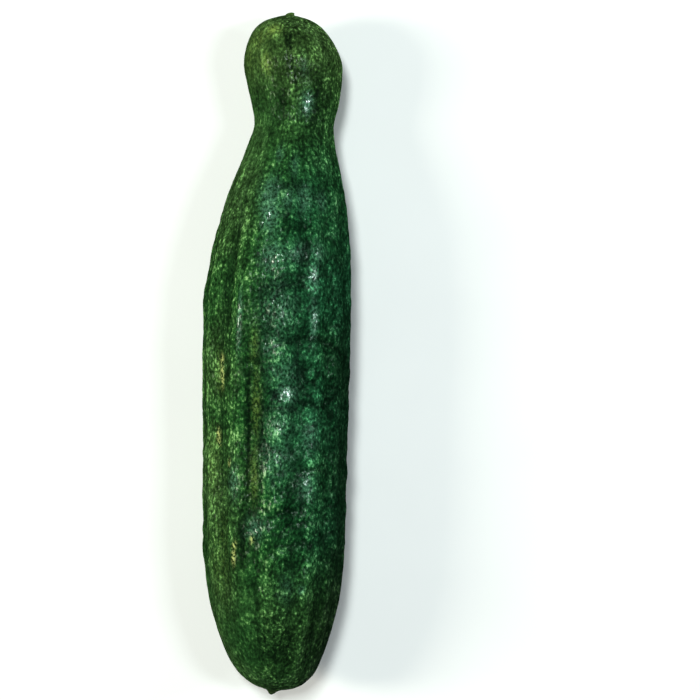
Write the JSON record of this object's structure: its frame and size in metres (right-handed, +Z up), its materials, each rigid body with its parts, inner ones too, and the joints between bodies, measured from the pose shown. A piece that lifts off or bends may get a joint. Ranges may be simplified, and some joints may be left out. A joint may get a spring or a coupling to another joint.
{
  "type": "mini cucumber",
  "caption": "Whole mini cucumber lying on its side, with a round knob and waist at the stem end, a long ridged body and a blunt blossom end.",
  "frame": {"origin": "middle of the fruit's bounding box at its lowest point, on the surface it lies on", "axes": "+Y along the fruit towards the stem end, +Z up, +X across it"},
  "size_m": [0.0304, 0.14, 0.0298],
  "materials": {
    "skin": "satin"
  },
  "bodies": {
    "root": {"cucumber": "skin"}
  },
  "joints": []
}
